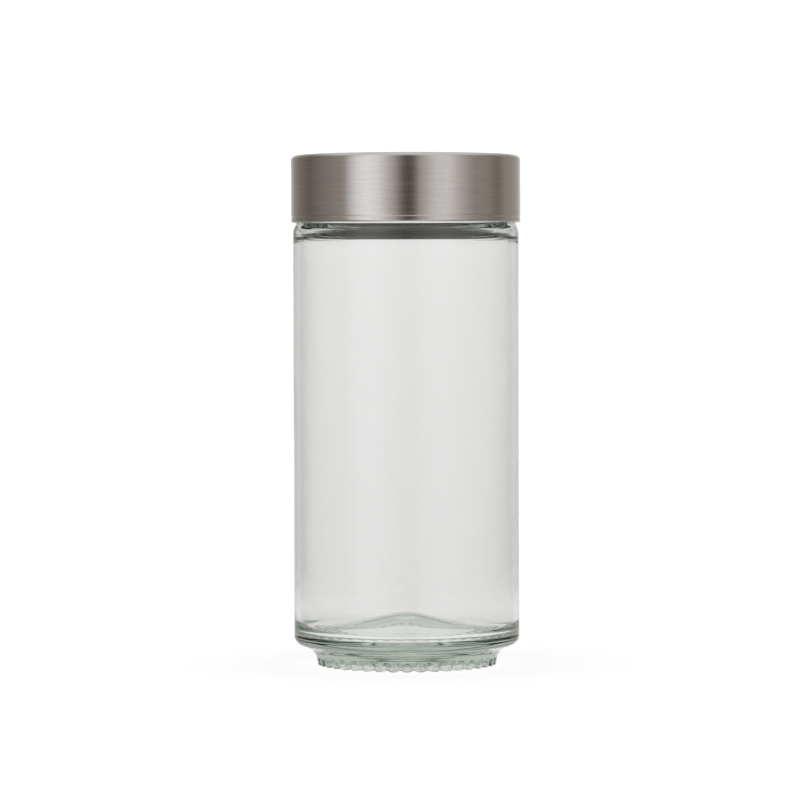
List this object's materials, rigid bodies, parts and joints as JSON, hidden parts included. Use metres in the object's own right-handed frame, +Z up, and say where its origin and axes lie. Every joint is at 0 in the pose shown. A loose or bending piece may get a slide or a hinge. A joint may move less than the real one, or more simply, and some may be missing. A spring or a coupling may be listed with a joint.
{
  "type": "coin bank jar",
  "caption": "Straight clear glass jar on a beaded foot, with a brushed steel screw lid that has a coin slot in its top.",
  "frame": {"origin": "middle of the plane that the foot stands on, on the jar's axis", "axes": "+Z up the jar's axis, +X along the coin slot"},
  "size_m": [0.1016, 0.1016, 0.226],
  "materials": {
    "clear_glass": "clear, slightly green, smooth",
    "brushed_steel": "brushed around the rim",
    "dark_plastic": "moulded, satin",
    "grey_silicone": "matte"
  },
  "bodies": {
    "jar": {"glass_jar": "clear_glass"},
    "gasket": {"lid_gasket": "grey_silicone"},
    "lid": {"lid_shell": "brushed_steel", "lid_insert": "dark_plastic"}
  },
  "joints": [
    {"name": "lid_rise", "type": "slide", "parent": "jar", "child": "gasket", "axis": [0, 0, 1], "range_m": [0, 0.03303]},
    {"name": "lid_turn", "type": "hinge", "parent": "gasket", "child": "lid", "pos_m": [0, 0, 0.21], "axis": [0, 0, 1], "range_deg": [0, 2340]}
  ],
  "couplings": [
    {"joint": "lid_rise", "follows": "lid_turn", "m_per_rad": 0.00080851}
  ]
}
